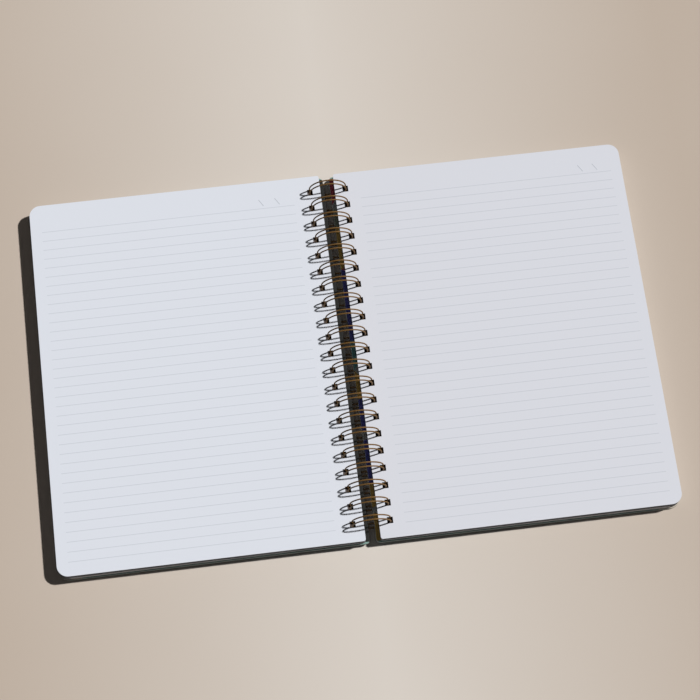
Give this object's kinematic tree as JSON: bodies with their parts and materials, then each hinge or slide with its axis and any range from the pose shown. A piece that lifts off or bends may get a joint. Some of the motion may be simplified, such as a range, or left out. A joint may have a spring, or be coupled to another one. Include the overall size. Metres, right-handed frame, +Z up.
{
  "type": "open spiral notebook",
  "caption": "Letter-size notebook lying open flat, with ruled sheets, two boards and a twin-loop wire that lets each half and each board swing.",
  "frame": {"origin": "on the table, under the middle of the binding wire, halfway between the notebook's head and foot", "axes": "+Z up from the table, +Y towards the heads of the pages along the binding wire, +X towards the right-hand page's fore-edge"},
  "size_m": [0.444, 0.281, 0.028],
  "materials": {
    "ruled_paper": "matte",
    "cover_board": "satin",
    "gold_wire": "satin"
  },
  "bodies": {
    "right_half": {"right_pages": "ruled_paper", "binding_wire": "gold_wire"},
    "left_half": {"left_pages": "ruled_paper"},
    "front_board": {"front_cover": "cover_board"},
    "back_board": {"back_cover": "cover_board"}
  },
  "joints": [
    {"name": "left_half_turn", "type": "hinge", "parent": "right_half", "child": "left_half", "pos_m": [0, 0, 0.014], "axis": [0, 1, 0], "range_deg": [0, 180]},
    {"name": "front_cover_turn", "type": "hinge", "parent": "left_half", "child": "front_board", "pos_m": [-0.00513, 0, 0.00468], "axis": [0, 1, 0], "range_deg": [-90, 0]},
    {"name": "back_cover_turn", "type": "hinge", "parent": "right_half", "child": "back_board", "pos_m": [0.00513, 0, 0.00468], "axis": [0, 1, 0], "range_deg": [0, 70]}
  ]
}
